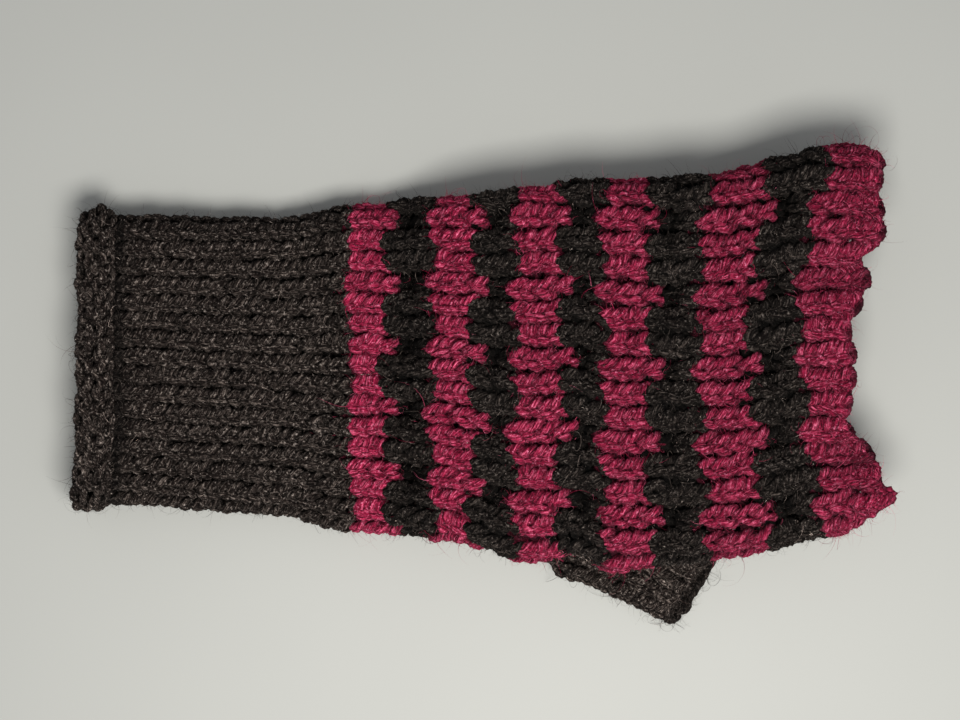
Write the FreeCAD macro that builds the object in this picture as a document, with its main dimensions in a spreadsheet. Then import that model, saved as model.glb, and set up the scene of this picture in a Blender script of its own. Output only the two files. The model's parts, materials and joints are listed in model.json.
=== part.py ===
import FreeCAD, Part
import math
import os

import Sketcher

# A hand-knitted fingerless mitt for one hand, lying flat on a table with the back of the hand up.
# +X runs from the rolled brim at the cuff to the finger opening, +Y goes across the hand, away from the
# thumb, and +Z is up from the table. The origin is on the table, under the middle of the whole mitt.
# Lengths are in millimetres and angles in degrees.
#
# The mitt is a soft tube of two yarns, flattened by its own weight. Each sub-part is one run of courses:
# a ring of fabric whose outline is flat above and below and half-round at the two folds. Every ring is
# lofted between two or more stations, and the stations below carry the real outline of the mitt.

# name: place along X, lower fold in Y, upper fold in Y, underside in Z, depth from underside to top
STATIONS = {
    "brim_edge": (-101.6, -31.0, 44.2, 0.0, 17.0),
    "brim_groove": (-93.6, -31.6, 44.6, 0.0, 17.0),
    "cuff_foot": (-93.6, -29.9, 42.6, 2.4, 12.2),
    "cast_on_line": (-91.4, -29.9, 42.6, 2.1, 12.2),
    "cuff_rest": (-76.0, -29.7, 42.2, 0.0, 12.2),
    "cuff_top": (-47.0, -31.4, 42.2, 0.0, 12.2),
    "hand_foot": (-31.1, -37.0, 45.4, 0.0, 13.0),
    "first_raspberry": (-22.4, -37.0, 45.4, 0.0, 13.0),
    "first_charcoal": (-10.1, -39.4, 46.9, 4.9, 13.8),
    "second_raspberry": (-0.6, -39.9, 47.1, 8.8, 14.2),
    "second_charcoal": (9.6, -43.4, 48.6, 9.0, 14.6),
    "third_raspberry": (20.9, -46.4, 49.9, 9.0, 15.0),
    "third_charcoal": (31.1, -47.5, 50.9, 9.0, 15.0),
    "fourth_raspberry": (42.9, -45.4, 51.1, 9.0, 15.4),
    "fourth_charcoal": (55.4, -44.4, 51.6, 9.0, 15.8),
    "fifth_raspberry": (69.1, -43.1, 54.9, 8.8, 16.4),
    "fifth_charcoal": (82.1, -39.1, 58.6, 8.6, 17.0),
    "sixth_raspberry": (97.6, -37.2, 59.2, 8.4, 17.4),
    "finger_edge": (101.6, -36.6, 59.2, 8.4, 17.4),
}
STATION_SIZES = ("place", "low_fold", "high_fold", "underside", "depth")

SIZES = {
    "fabric_wall": 2.6,
    "brim_wall": 5.0,
    "brim_rounding": 2.2,
    "edge_chain": 1.8,
    "strand_radius": 1.1,
    "strand_gap": 0.2,
    "raspberry_strand_inset": 8.6,
    "charcoal_strand_inset": 11.2,
    "thumb_wall": 2.0,
    "thumb_depth": 8.6,
    "thumb_root_width": 36.0,
    "thumb_edge_width": 27.0,
    "thumb_tip_width": 26.0,
    "thumb_edge_place": 36.5,
    "thumb_tip_place": 40.0,
    "thumb_pivot_across": -26.9,
    "thumb_pivot_along": 20.4,
    "thumb_angle": -32.0,
    "thumb_hole_radius": 10.6,
    "thumb_ring_radius": 10.5,
    "thumb_ring_wall": 2.1,
    "thumb_ring_height": 3.4,
    "thumb_mouth_radius": 8.4,
}

# The courses of the hand from the wrist to the fingers: each band runs from one station to the next.
HAND_BANDS = (
    ("raspberry_band_1", "hand_foot", "first_raspberry"),
    ("charcoal_band_1", "first_raspberry", "first_charcoal"),
    ("raspberry_band_2", "first_charcoal", "second_raspberry"),
    ("charcoal_band_2", "second_raspberry", "second_charcoal"),
    ("raspberry_band_3", "second_charcoal", "third_raspberry"),
    ("charcoal_band_3", "third_raspberry", "third_charcoal"),
    ("raspberry_band_4", "third_charcoal", "fourth_raspberry"),
    ("charcoal_band_4", "fourth_raspberry", "fourth_charcoal"),
    ("raspberry_band_5", "fourth_charcoal", "fifth_raspberry"),
    ("charcoal_band_5", "fifth_raspberry", "fifth_charcoal"),
    ("raspberry_band_6", "fifth_charcoal", "sixth_raspberry"),
)
BANDS_WITH_THUMB_HOLE = ("raspberry_band_3", "charcoal_band_3")
# Where the thumb's outline is drawn: its distance from the thumb hole's middle, and its width there.
THUMB_STATIONS = {
    "root": ("0", "Sizes.thumb_root_width"),
    "edge": ("Sizes.thumb_edge_place", "Sizes.thumb_edge_width"),
    "tip": ("Sizes.thumb_tip_place", "Sizes.thumb_tip_width"),
}
STRAND_STATIONS = (
    "first_raspberry",
    "first_charcoal",
    "second_raspberry",
    "second_charcoal",
    "third_raspberry",
    "third_charcoal",
    "fourth_raspberry",
    "fourth_charcoal",
    "fifth_raspberry",
    "fifth_charcoal",
)

# Sizes that sketches are first drawn with, before their expressions set the real ones.
START_HALF = 30.0
START_REACH = 13.0
START_FOLD = 4.0
START_RADIUS = 5.0
START_ANGLE = 1.0

QUARTER_TURN = math.pi / 2
LENGTH_TOLERANCE = 1e-6
SMALLEST_CUT_VOLUME = 1.0
UP = FreeCAD.Vector(0, 0, 1)

doc = FreeCAD.newDocument("FingerlessMitt")
sheet = doc.addObject("Spreadsheet::Sheet", "Sizes")


def fill_sheet():
    """Writes every driving dimension into the sheet, one to a row, under its alias."""
    rows = dict(SIZES)
    for station, values in STATIONS.items():
        for size, value in zip(STATION_SIZES, values):
            rows[f"{station}_{size}"] = value
    for row, (alias, value) in enumerate(rows.items(), start=1):
        sheet.set(f"A{row}", alias)
        sheet.set(f"B{row}", str(value))
        sheet.setAlias(f"B{row}", alias)
    doc.recompute()


def value_of(alias):
    return float(sheet.get(alias))


def new_body(node):
    body = doc.addObject("PartDesign::Body", node)
    body.Label = node
    return body


def new_sketch(body, name, plane):
    """A sketch on one of the body's own origin planes."""
    sketch = body.newObject("Sketcher::SketchObject", name)
    support = [f for f in body.Origin.OriginFeatures if f.Role == plane][0]
    sketch.AttachmentSupport = [(support, "")]
    sketch.MapMode = "FlatFace"
    return sketch


def bind_offset(sketch, across, up, along):
    """Binds where a sketch's own origin stands, as three expressions in the sketch plane's axes."""
    sketch.setExpression(".AttachmentOffset.Base.x", across)
    sketch.setExpression(".AttachmentOffset.Base.y", up)
    sketch.setExpression(".AttachmentOffset.Base.z", along)


def draw_flat_ring_outline(sketch, spread, radius):
    """Two straight sides joined by half-circles, centred on the sketch's origin. Spread is the distance
    between the half-circles' centres. Both are expressions."""
    left = FreeCAD.Vector(-START_HALF, 0, 0)
    right = FreeCAD.Vector(START_HALF, 0, 0)
    lift = FreeCAD.Vector(0, START_FOLD, 0)
    outer_round = Part.Circle(right, UP, START_FOLD)
    inner_round = Part.Circle(left, UP, START_FOLD)
    bottom = sketch.addGeometry(Part.LineSegment(left - lift, right - lift), False)
    outer = sketch.addGeometry(Part.ArcOfCircle(outer_round, -QUARTER_TURN, QUARTER_TURN), False)
    top = sketch.addGeometry(Part.LineSegment(right + lift, left + lift), False)
    inner = sketch.addGeometry(Part.ArcOfCircle(inner_round, QUARTER_TURN, 3 * QUARTER_TURN), False)
    sketch.addConstraint(Sketcher.Constraint("Tangent", bottom, 2, outer, 1))
    sketch.addConstraint(Sketcher.Constraint("Tangent", outer, 2, top, 1))
    sketch.addConstraint(Sketcher.Constraint("Tangent", top, 2, inner, 1))
    sketch.addConstraint(Sketcher.Constraint("Tangent", inner, 2, bottom, 1))
    sketch.addConstraint(Sketcher.Constraint("Horizontal", bottom))
    sketch.addConstraint(Sketcher.Constraint("Equal", inner, outer))
    sketch.addConstraint(Sketcher.Constraint("Symmetric", inner, 3, outer, 3, -1, 1))
    size = sketch.addConstraint(Sketcher.Constraint("DistanceX", inner, 3, outer, 3, 2 * START_HALF))
    sketch.renameConstraint(size, "spread")
    size = sketch.addConstraint(Sketcher.Constraint("Radius", outer, START_FOLD))
    sketch.renameConstraint(size, "fold")
    sketch.setExpression("Constraints.spread", spread)
    sketch.setExpression("Constraints.fold", radius)


def station_outline(body, name, station, inset):
    """The outline of the flattened tube at a station, drawn in by an inset on every side."""
    sketch = new_sketch(body, name, "YZ_Plane")
    here = f"Sizes.{station}"
    bind_offset(
        sketch,
        f"({here}_low_fold + {here}_high_fold) / 2",
        f"{here}_underside + {here}_depth / 2",
        f"{here}_place",
    )
    draw_flat_ring_outline(
        sketch,
        f"{here}_high_fold - {here}_low_fold - {here}_depth",
        f"{here}_depth / 2 - ({inset})",
    )
    return sketch


def loft(body, kind, name, sketches):
    feature = body.newObject(kind, name)
    feature.Profile = sketches[0]
    feature.Sections = sketches[1:]
    feature.Ruled = True
    return feature


def fabric_ring(node, stations, outer_inset, inner_inset):
    """A ring of fabric through the given stations, open at both ends."""
    body = new_body(node)
    outside = [station_outline(body, f"{node}_outside_{s}", s, outer_inset) for s in stations]
    loft(body, "PartDesign::AdditiveLoft", f"{node}_fabric", outside)
    inside = [station_outline(body, f"{node}_inside_{s}", s, inner_inset) for s in stations]
    loft(body, "PartDesign::SubtractiveLoft", f"{node}_hollow", inside)
    return body


def circle_sketch(body, name, plane, radius):
    """A circle about the sketch's own origin, its radius an expression."""
    sketch = new_sketch(body, name, plane)
    add_circle(sketch, "rim", radius)
    return sketch


def add_circle(sketch, name, radius):
    circle = Part.Circle(FreeCAD.Vector(0, 0, 0), UP, START_RADIUS)
    index = sketch.addGeometry(circle, False)
    sketch.addConstraint(Sketcher.Constraint("Coincident", index, 3, -1, 1))
    size = sketch.addConstraint(Sketcher.Constraint("Radius", index, START_RADIUS))
    sketch.renameConstraint(size, name)
    sketch.setExpression(f"Constraints.{name}", radius)


def rolled_brim():
    """The cuff's first courses, rolled outwards on themselves: a thick ring with rounded edges."""
    node = "cuff_rolled_brim"
    body = fabric_ring(node, ("brim_edge", "brim_groove"), "0", "Sizes.brim_wall")
    doc.recompute()
    ends = (value_of("brim_edge_place"), value_of("brim_groove_place"))
    rims = []
    for number, edge in enumerate(body.Tip.Shape.Edges, start=1):
        box = edge.BoundBox
        away = min(abs(box.XMin - end) for end in ends)
        if max(box.XLength, away) < LENGTH_TOLERANCE:
            rims.append(f"Edge{number}")
    fillet = body.newObject("PartDesign::Fillet", f"{node}_rounding")
    fillet.Base = (body.getObject(f"{node}_hollow"), rims)
    fillet.setExpression("Radius", "Sizes.brim_rounding")
    return body


def cut_thumb_hole(body):
    """Opens the palm side of a band where the thumb is knitted on, up to the middle of the hand."""
    sketch = circle_sketch(body, f"{body.Name}_thumb_hole", "XY_Plane", "Sizes.thumb_hole_radius")
    bind_offset(sketch, "Sizes.thumb_pivot_along", "Sizes.thumb_pivot_across", "0")
    doc.recompute()
    before = body.Shape.Volume
    pocket = body.newObject("PartDesign::Pocket", f"{body.Name}_thumb_opening")
    pocket.Profile = sketch
    pocket.Reversed = True
    pocket.setExpression(
        "Length", "Sizes.second_charcoal_underside + Sizes.second_charcoal_depth / 2"
    )
    doc.recompute()
    if body.Shape.Volume > before - SMALLEST_CUT_VOLUME:
        raise RuntimeError(f"the thumb hole cuts nothing from {body.Label}")


def carried_strand(node, inset):
    """A yarn carried up the inside of the upper fold from one of its bands to the next."""
    body = new_body(node)
    sketches = []
    for station in STRAND_STATIONS:
        here = f"Sizes.{station}"
        name = f"{node}_{station}"
        sketch = circle_sketch(body, name, "YZ_Plane", "Sizes.strand_radius")
        bind_offset(
            sketch,
            f"{here}_high_fold - {inset}",
            f"{here}_underside + Sizes.fabric_wall + Sizes.strand_gap + Sizes.strand_radius",
            f"{here}_place",
        )
        sketches.append(sketch)
    loft(body, "PartDesign::AdditiveLoft", f"{node}_yarn", sketches)
    return body


def picked_up_ring():
    """The stitches picked up round the thumb hole: a short upright ring that lines the hole."""
    node = "thumb_picked_up_edge"
    body = new_body(node)
    sketch = new_sketch(body, f"{node}_outline", "XY_Plane")
    add_circle(sketch, "rim", "Sizes.thumb_ring_radius")
    add_circle(sketch, "mouth", "Sizes.thumb_ring_radius - Sizes.thumb_ring_wall")
    bind_offset(
        sketch,
        "Sizes.thumb_pivot_along",
        "Sizes.thumb_pivot_across",
        "Sizes.third_raspberry_underside",
    )
    pad = body.newObject("PartDesign::Pad", f"{node}_ring")
    pad.Profile = sketch
    pad.setExpression("Length", "Sizes.thumb_ring_height")
    return body


def place_on_thumb(body):
    """Stands a body at the middle of the thumb hole, with its own X axis along the thumb."""
    turn = FreeCAD.Rotation(UP, START_ANGLE)
    body.Placement = FreeCAD.Placement(FreeCAD.Vector(0, 0, 0), turn)
    body.setExpression(".Placement.Base.x", "Sizes.thumb_pivot_along")
    body.setExpression(".Placement.Base.y", "Sizes.thumb_pivot_across")
    body.setExpression(".Placement.Rotation.Angle", "Sizes.thumb_angle")


def thumb_outline(body, name, station, inset):
    """The thumb tube's outline at one of its stations, drawn in by an inset on every side."""
    place, width = THUMB_STATIONS[station]
    sketch = new_sketch(body, name, "YZ_Plane")
    bind_offset(sketch, "0", "Sizes.thumb_depth / 2", place)
    draw_flat_ring_outline(
        sketch, f"{width} - Sizes.thumb_depth", f"Sizes.thumb_depth / 2 - ({inset})"
    )
    return sketch


def thumb_loft(body, kind, name, stations, inset):
    """The thumb tube's outline carried from one of its stations to the next."""
    sketches = [thumb_outline(body, f"{name}_{s}", s, inset) for s in stations]
    return loft(body, kind, name, sketches)


def half_outline(body, name, inset):
    """Half of the thumb tube's outline at its root, from the upright middle line to one fold."""
    sketch = new_sketch(body, name, "YZ_Plane")
    bind_offset(sketch, "0", "Sizes.thumb_depth / 2", "0")
    middle = FreeCAD.Vector(0, 0, 0)
    side = FreeCAD.Vector(START_REACH, 0, 0)
    lift = FreeCAD.Vector(0, START_FOLD, 0)
    fold_round = Part.Circle(side, UP, START_FOLD)
    bottom = sketch.addGeometry(Part.LineSegment(middle - lift, side - lift), False)
    fold = sketch.addGeometry(Part.ArcOfCircle(fold_round, -QUARTER_TURN, QUARTER_TURN), False)
    top = sketch.addGeometry(Part.LineSegment(side + lift, middle + lift), False)
    axis = sketch.addGeometry(Part.LineSegment(middle + lift, middle - lift), False)
    sketch.addConstraint(Sketcher.Constraint("Tangent", bottom, 2, fold, 1))
    sketch.addConstraint(Sketcher.Constraint("Tangent", fold, 2, top, 1))
    sketch.addConstraint(Sketcher.Constraint("Coincident", top, 2, axis, 1))
    sketch.addConstraint(Sketcher.Constraint("Coincident", axis, 2, bottom, 1))
    sketch.addConstraint(Sketcher.Constraint("Horizontal", bottom))
    sketch.addConstraint(Sketcher.Constraint("PointOnObject", axis, 1, -2))
    sketch.addConstraint(Sketcher.Constraint("PointOnObject", axis, 2, -2))
    sketch.addConstraint(Sketcher.Constraint("PointOnObject", fold, 3, -1))
    size = sketch.addConstraint(Sketcher.Constraint("DistanceX", -1, 1, fold, 3, START_REACH))
    sketch.renameConstraint(size, "reach")
    size = sketch.addConstraint(Sketcher.Constraint("Radius", fold, START_FOLD))
    sketch.renameConstraint(size, "fold")
    sketch.setExpression("Constraints.reach", "(Sizes.thumb_root_width - Sizes.thumb_depth) / 2")
    sketch.setExpression("Constraints.fold", f"Sizes.thumb_depth / 2 - ({inset})")
    return sketch


def half_turn(body, kind, name, sketch):
    """Turns a half outline half-way round the upright axis, behind the thumb's root."""
    feature = body.newObject(kind, name)
    feature.Profile = sketch
    feature.ReferenceAxis = (sketch, ["V_Axis"])
    feature.Angle = 180
    return feature


def thumb_tube():
    """The thumb: a flattened tube under the hand, rounded behind its root, open into the hand above its
    root and open at its tip."""
    node = "thumb_tube"
    body = new_body(node)
    ends = ("root", "edge")
    thumb_loft(body, "PartDesign::AdditiveLoft", f"{node}_fabric", ends, "0")
    root = half_outline(body, f"{node}_root_outline", "0")
    half_turn(body, "PartDesign::Revolution", f"{node}_root", root)
    thumb_loft(body, "PartDesign::SubtractiveLoft", f"{node}_hollow", ends, "Sizes.thumb_wall")
    hollow = half_outline(body, f"{node}_root_hollow_outline", "Sizes.thumb_wall")
    half_turn(body, "PartDesign::Groove", f"{node}_root_hollow", hollow)
    mouth = circle_sketch(body, f"{node}_mouth_outline", "XY_Plane", "Sizes.thumb_mouth_radius")
    bind_offset(mouth, "0", "0", "Sizes.thumb_depth")
    pocket = body.newObject("PartDesign::Pocket", f"{node}_mouth")
    pocket.Profile = mouth
    pocket.setExpression("Length", "Sizes.thumb_wall")
    place_on_thumb(body)
    return body


def thumb_cast_off_edge():
    """The cast-off chain that ends the thumb."""
    node = "thumb_cast_off_edge"
    body = new_body(node)
    ends = ("edge", "tip")
    thumb_loft(body, "PartDesign::AdditiveLoft", f"{node}_chain", ends, "0")
    thumb_loft(body, "PartDesign::SubtractiveLoft", f"{node}_hollow", ends, "Sizes.thumb_wall")
    place_on_thumb(body)
    return body


def build_mitt():
    """Makes every sub-part and returns their bodies."""
    wall = "Sizes.fabric_wall"
    bodies = [
        rolled_brim(),
        fabric_ring("cast_on_edge", ("cuff_foot", "cast_on_line"), "-Sizes.edge_chain", "0"),
        fabric_ring("cuff_tube", ("cuff_foot", "cast_on_line", "cuff_rest", "cuff_top"), "0", wall),
        fabric_ring("cuff_wrist_rows", ("cuff_top", "hand_foot"), "0", wall),
    ]
    for node, start, end in HAND_BANDS:
        band = fabric_ring(node, (start, end), "0", wall)
        if node in BANDS_WITH_THUMB_HOLE:
            cut_thumb_hole(band)
        bodies.append(band)
    bodies += [
        fabric_ring("finger_cast_off_edge", ("sixth_raspberry", "finger_edge"), "0", wall),
        carried_strand("raspberry_carried_strand", "Sizes.raspberry_strand_inset"),
        carried_strand("charcoal_carried_strand", "Sizes.charcoal_strand_inset"),
        picked_up_ring(),
        thumb_tube(),
        thumb_cast_off_edge(),
    ]
    doc.recompute()
    return bodies


def check_document(bodies):
    """Stops if any object failed, or if any sub-part isn't one valid solid."""
    for thing in doc.Objects:
        if "Invalid" in thing.State or "Error" in thing.State:
            raise RuntimeError(f"{thing.Name} didn't compute: {thing.State}")
    for body in bodies:
        shape = body.Shape
        if shape.isNull() or not shape.isValid() or len(shape.Solids) != 1:
            raise RuntimeError(f"{body.Label} isn't one valid solid")


def write_parts(bodies):
    os.makedirs("parts", exist_ok=True)
    for body in bodies:
        body.Shape.exportStep(f"parts/{body.Label}.step")
        box = body.Shape.BoundBox
        print(
            f"{body.Label:26s} {body.Shape.Volume:9.1f} mm3"
            f"  x {box.XMin:7.2f} {box.XMax:7.2f}  y {box.YMin:7.2f} {box.YMax:7.2f}"
            f"  z {box.ZMin:6.2f} {box.ZMax:6.2f}"
        )


fill_sheet()
mitt = build_mitt()
check_document(mitt)
write_parts(mitt)
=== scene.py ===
import json
import math

import bpy
import numpy as np
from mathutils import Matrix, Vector


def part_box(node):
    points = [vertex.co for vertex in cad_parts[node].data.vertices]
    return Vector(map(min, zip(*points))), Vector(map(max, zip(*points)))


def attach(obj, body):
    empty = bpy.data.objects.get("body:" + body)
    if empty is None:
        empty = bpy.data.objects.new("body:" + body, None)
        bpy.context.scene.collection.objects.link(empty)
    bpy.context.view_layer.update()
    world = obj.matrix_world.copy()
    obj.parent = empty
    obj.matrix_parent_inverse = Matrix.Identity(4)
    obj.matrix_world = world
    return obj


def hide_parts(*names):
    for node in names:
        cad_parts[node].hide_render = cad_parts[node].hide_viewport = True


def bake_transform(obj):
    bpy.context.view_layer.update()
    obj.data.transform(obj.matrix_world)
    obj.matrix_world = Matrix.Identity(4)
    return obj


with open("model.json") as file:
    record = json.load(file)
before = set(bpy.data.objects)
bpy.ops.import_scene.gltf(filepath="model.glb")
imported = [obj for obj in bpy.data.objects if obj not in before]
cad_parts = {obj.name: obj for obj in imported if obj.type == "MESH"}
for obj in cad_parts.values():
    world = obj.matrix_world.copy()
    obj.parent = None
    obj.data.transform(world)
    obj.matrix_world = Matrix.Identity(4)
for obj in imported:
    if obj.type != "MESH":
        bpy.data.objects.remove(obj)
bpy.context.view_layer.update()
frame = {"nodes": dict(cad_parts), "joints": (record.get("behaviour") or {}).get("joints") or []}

# Shapes are worked out in millimetres and written to the meshes in metres.
MM = 0.001
TURN = 2 * math.pi

# The knit. A wale is a column of stitches along the mitt, and a course is a row of stitches round it.
# The pattern repeats every few wales. The wales start this far round from the upper fold, and drift
# round by this many wales for each millimetre along the hand.
WALES = 33
REPEAT = 3
STITCH_SAMPLES = 22
FIRST_WALE = 0.55
WALE_DRIFT = 0.0155

# The yarn's cross-section, how far along it its plies take to go round once, how deep the grooves
# between them are as a share of its radius, and how much painted shade darkens those grooves.
YARN_SIDES = 15
PLIES = 3
PLY_SIDES = YARN_SIDES // PLIES
PLY_PITCH = 6.6
PLY_GROOVE = 0.16
GROOVE_SHADE = 0.45
# The twist is tighter and looser by this many radians over this length, and the yarn is a little flat.
SLACK = 0.9
SLACK_LENGTH = 23
FLATNESS = 0.12
# How uneven its thickness is from stitch to stitch, and in slow waves.
THICKNESS_UNEVENNESS = 0.1
THICKNESS_WAVES = 0.05
# The length of yarn that one unit of its colour streaks covers, and how far the tone of a course, from 0
# to 1, shifts its streaks and its slack.
STREAK_LENGTH = 3.0
TONE_STREAKS = 40
TONE_SLACK = 9

# How much light is painted on the side of the yarn turned away from the outside: in closed fabric, in
# open fabric and at an edge.
INNER_LIGHT = 0.04
OPEN_LIGHT = 0.6
EDGE_LIGHT = 0.8
# How much painted light the yarn's side gets, how fast that rises as it turns outwards, and with what
# power.
# How deep a hollow is when it gets no light, and the least light in one.
SIDE_LIGHT = 0.5
FACING_LIGHT = 0.6
FACING_POWER = 1.4
DARK_HOLLOW = 3.0
LEAST_LIGHT = 0.05

# Fibres that stand out of the yarn: points along one, its radius at the root, the longest, how far one
# curls in radians, and how high it stands, from 0 for flat to 1 for any direction.
FUZZ = {"rings": 5, "radius": 0.045, "longest": 5.6, "curl": (0.4, 3.6), "height": 1.0}
LOOSE = {"rings": 15, "radius": 0.06, "longest": 11.0, "curl": (1.2, 7.5), "height": 0.35}
LOOSE_LENGTH = 6.0
SHORTEST_FIBRE = 0.5
FIBRE_SIDES = 3
# They start where the yarn turns outwards by at least this much, and set off straight out or at random
# in these shares. Their lengths spread by this much in logarithm. They twist out of their own plane,
# taper by this share, and stay this high over the table.
FIBRE_FACING = 0.1
FIBRE_STRAIGHT = 0.5
FIBRE_RANDOM = 0.8
FIBRE_SPREAD = 0.6
FIBRE_TWIST = 0.25
FIBRE_TAPER = 0.85
FIBRE_LOWEST = 0.1
# The spread of their places in the colour streaks, and the least and most light painted on them.
FIBRE_STREAKS = 0.8
FIBRE_LIGHT = (0.4, 1.3)
# How many times brighter the bright fibres are, and what share of the fibres are bright.
CHARCOAL_GLINTS = (3.0, 0.2)
RASPBERRY_GLINTS = (1.6, 0.06)

# The flattened tube: half its fabric's thickness, how far the folds stay in from the CAD folds, and how
# much of its relief the folds show.
FABRIC_HALF = 1.3
FOLD_INSET = 0.6
FOLD_GIVE = 0.45

# How each part is knitted: yarn radius, how far loops stand out of the fabric, how many courses a loop
# spans either way, how far its legs lean apart, in wales, and how much painted shade darkens its deepest
# yarn.
BRIM_GAUGE = {"yarn": 1.12, "depth": 1.25, "reach": 0.78, "lean": 0.2, "contrast": 0.9}
CUFF_GAUGE = {"yarn": 1.08, "depth": 1.15, "reach": 0.8, "lean": 0.24, "contrast": 0.88}
HAND_GAUGE = {"yarn": 1.3, "depth": 1.15, "reach": 0.86, "lean": 0.22, "contrast": 0.9}
FINGER_GAUGE = {**HAND_GAUGE, "yarn": 1.45}
CHAIN_GAUGE = {"yarn": 1.32, "depth": 0.7, "reach": 0.5, "lean": 0.36, "contrast": 0.6}
THUMB_GAUGE = {"yarn": 1.08, "depth": 1.1, "reach": 0.8, "lean": 0.24, "contrast": 0.5}
THUMB_EDGE_GAUGE = {"yarn": 1.0, "depth": 0.5, "reach": 0.42, "lean": 0.36, "contrast": 0.6}
# How much wider the groove between two wales is than the one inside a wale, in wales, and how much
# painted shade darkens it.
WALE_GROOVE = 0.065
WALE_SHADE = 0.34
# How uneven stitches are round the mitt and along it, in stitches, and outwards, in mm.
STITCH_UNEVENNESS = (0.085, 0.17, 0.34)
CHAIN_UNEVENNESS = (0.04, 0.06, 0.12)
# How much brighter or darker each part's wool is than the material. The raspberry darkens band by band.
CUFF_SHADE = 1.06
CHARCOAL_SHADE = 0.55
RASPBERRY_SHADE = 1.32
RASPBERRY_FADE = 0.036
THUMB_SHADE = 1.15

# The cuff, whose last courses are the wrist rows. By the brim it is raised from below by this much, and
# lowered from above by a third of it.
BRIM_COURSES = 5
CUFF_COURSES = 26
WRIST_COURSES = 6
BRIM_LIFT = 1.0
# The rolled brim: how many half turns it goes round, how far it reaches along and outwards, how uneven
# that is, and how far before the CAD tube it starts. Then how uneven the whole cuff is.
ROLL_HALF_TURNS = 1.4
ROLL_ALONG = 2.9
ROLL_OUT = 2.2
ROLL_UNEVENNESS = 0.14
ROLL_ROOM = 3.2
CUFF_UNEVENNESS = 0.25
# How far the brim is shifted along X at places across the cuff, and how many courses it fades out over.
BRIM_TILT = ((-32.0, -26.0, -12.0, 44.0), (-0.4, 1.4, 2.4, 2.6))
BRIM_TILT_COURSES = 8

BAND_COURSES = {
    "raspberry_band_1": 4,
    "charcoal_band_1": 4,
    "raspberry_band_2": 4,
    "charcoal_band_2": 4,
    "raspberry_band_3": 4,
    "charcoal_band_3": 4,
    "raspberry_band_4": 4,
    "charcoal_band_4": 5,
    "raspberry_band_5": 4,
    "charcoal_band_5": 5,
    "raspberry_band_6": 5,
}
BANDS = list(BAND_COURSES)
BAND_STARTS = np.concatenate(([0], np.cumsum(list(BAND_COURSES.values()))))
# The bands' edges bow away from the cuff by the folds, from this place on and in full this much further.
# The bow rises with these powers of the way along and across, and has this mean.
BOW = 8.2
BOW_START = 20
BOW_LENGTH = 62
BOW_ALONG = 1.5
BOW_ACROSS = 2.5
BOW_MEAN = 0.29
# How unevenly the bands' edges run, and how far apart two edges' unevenness is taken from.
EDGE_UNEVENNESS = 0.7
EDGES_APART = 9.0
# Towards the fingers, the raspberry spikes into the charcoal: how far its edges lie back between spikes,
# how far the spikes reach from there, how wide they are, in wales, and how steep their sides are.
SPIKE_BACK = 1.6
SPIKE = 3.7
SPIKE_EDGE_WIDTH = 1.05
SPIKE_POWER = 1.4
# Towards the fingers, the charcoal's edges are scalloped: how deep, less so at the wrist, and at which
# wale of a repeat.
SCALLOP = 1.5
WRIST_SCALLOP = 0.6
SCALLOP_PLACE = 0.9
# A spike's long loops stretch by this many courses and draw together, and the charcoal in front of them
# is passed behind for this many courses, this much deeper, and squeezed.
SPIKE_STRETCH = 0.75
SPIKE_PINCH = 0.35
SLIPPED_COURSES = 1
SKIPPED_DEPTH = 0.9
SPIKE_SQUEEZE = 0.09
# How wide a spike's relief is, in wales, and how high the charcoal puffs up beside it. In front of it
# the charcoal dips: how deep, how wide, in wales, about which course, and over how many.
SPIKE_WIDTH = 0.75
PUFF = 2.3
PUFF_POWER = 0.8
DIMPLE = 5.8
DIMPLE_WIDTH = 0.92
DIMPLE_COURSE = 2.4
DIMPLE_COURSES = 1.25
# The raspberry's low ridges, measured about their mean, and the hand's slow unevenness.
RIDGE = 0.6
RIDGE_MEAN = 0.3
HAND_UNEVENNESS = 0.4
# Folds of the upper layer, which reaches this far below the middle height, get a painted shadow where
# they are deeper than this, by this share of their depth.
UPPER_LAYER = 3
FOLD_DEPTH = 0.6
FOLD_SHADOW = 0.6
# How far the gathered finger end stays in from its line, the furthest the lower layer reaches, and how
# unevenly it ends.
FINGER_INSET = 2.6
UNDER_EDGE = 93.5
UNDER_EDGE_UNEVENNESS = 0.8
# The lower layer is raised by this much, from this place on and in full this much further, and it shows
# this share of the hand's relief.
UNDER_RISE = 1.3
UNDER_RISE_START = 34
UNDER_RISE_LENGTH = 12
UNDER_LIFT = 0.15

# Each spike and each puff has a size of its own, as a share of the usual one.
rng = np.random.default_rng(20)
SPIKE_SIZES = rng.uniform(0.75, 1.2, (len(BANDS), WALES // REPEAT))
PUFF_SIZES = rng.uniform(0.75, 1.3, (len(BANDS), WALES // REPEAT))


# ---------------------------------------------------------------------------------------------------
# The mitt's outline, read from the CAD rings


def cad_points(node):
    """The corners of a CAD piece, in mm."""
    mesh = frame["nodes"][node].data
    points = np.zeros(len(mesh.vertices) * 3)
    mesh.vertices.foreach_get("co", points)
    return points.reshape(-1, 3) / MM


def points_at(points, place, within):
    """The points that are no further than this from a place along X."""
    return points[np.abs(points[:, 0] - place) < within]


def bump(value, place, width):
    """A bell-shaped rise of height 1 about a place."""
    return np.exp(-(((value - place) / width) ** 2))


def smooth(part):
    """Runs from 0 to 1 with a level start and end."""
    return part * part * (3 - 2 * part)


def ramp(value, start, length):
    """Runs straight from 0 at the start to 1 a length further, and stays level outside."""
    return np.clip((value - start) / length, 0, 1)


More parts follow.
